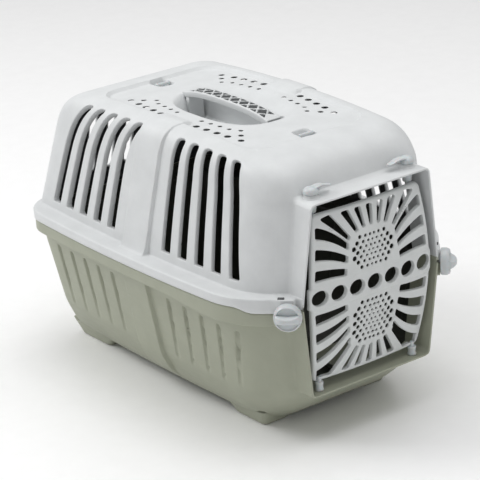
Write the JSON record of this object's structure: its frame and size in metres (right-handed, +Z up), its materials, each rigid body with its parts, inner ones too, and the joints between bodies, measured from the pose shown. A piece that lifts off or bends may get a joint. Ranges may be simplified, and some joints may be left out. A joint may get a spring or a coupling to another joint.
{
  "type": "pet transport carrier",
  "caption": "Hard-shell pet carrier: tub, lift-off vented shell, domed grille door on corner pins, sprung door latches, turning corner knobs and a bridge carrying handle.",
  "frame": {"origin": "middle of the footprint of the whole carrier, on the surface it stands on", "axes": "+X out of the doorway, +Z up, +Y to the left of someone standing inside and looking out"},
  "size_m": [0.483, 0.315, 0.33],
  "materials": {
    "shell_plastic": "fine satin grain, light neutral grey",
    "tub_plastic": "fine satin grain, sage green",
    "door_plastic": "satin, slightly green light grey",
    "fitting_plastic": "smooth, milky and slightly translucent",
    "handle_plastic": "fine satin grain, light grey",
    "spring_steel": "bright drawn wire"
  },
  "bodies": {
    "tub": {"lower_tub": "tub_plastic", "hinge_pin_left": "fitting_plastic", "hinge_pin_right": "fitting_plastic"},
    "shell": {"upper_shell": "shell_plastic", "handle_grip": "handle_plastic", "strap_bar_rear": "fitting_plastic", "strap_bar_front": "fitting_plastic", "latch_guide_left": "fitting_plastic", "latch_guide_right": "fitting_plastic", "latch_spring_left": "spring_steel", "latch_spring_right": "spring_steel"},
    "door": {"door_panel": "door_plastic"},
    "latch_left": {"latch_pin_left": "fitting_plastic", "latch_lever_left": "fitting_plastic"},
    "latch_right": {"latch_pin_right": "fitting_plastic", "latch_lever_right": "fitting_plastic"},
    "knob_left": {"knob_left": "fitting_plastic", "knob_catch_left": "fitting_plastic"},
    "knob_right": {"knob_right": "fitting_plastic", "knob_catch_right": "fitting_plastic"}
  },
  "joints": [
    {"name": "shell_lift", "type": "slide", "parent": "tub", "child": "shell", "axis": [0, 0, 1], "range_m": [0, 0.08]},
    {"name": "door_swing", "type": "hinge", "parent": "tub", "child": "door", "pos_m": [0.2156, 0.067, 0.17], "axis": [0, 0, 1], "range_deg": [0, 90]},
    {"name": "latch_left_lift", "type": "slide", "parent": "shell", "child": "latch_left", "axis": [0, 0, 1], "range_m": [0, 0.007], "stiffness_N_per_m": 300, "springref_m": -0.004, "deforming": ["latch_spring_left"]},
    {"name": "latch_right_lift", "type": "slide", "parent": "shell", "child": "latch_right", "axis": [0, 0, 1], "range_m": [0, 0.007], "stiffness_N_per_m": 300, "springref_m": -0.004, "deforming": ["latch_spring_right"]},
    {"name": "knob_left_turn", "type": "hinge", "parent": "tub", "child": "knob_left", "pos_m": [0.22, -0.108, 0.1635], "axis": [0.7071, -0.7071, 0], "range_deg": [0, 90]},
    {"name": "knob_right_turn", "type": "hinge", "parent": "tub", "child": "knob_right", "pos_m": [0.22, 0.108, 0.1635], "axis": [-0.7071, -0.7071, 0], "range_deg": [0, 90]}
  ]
}
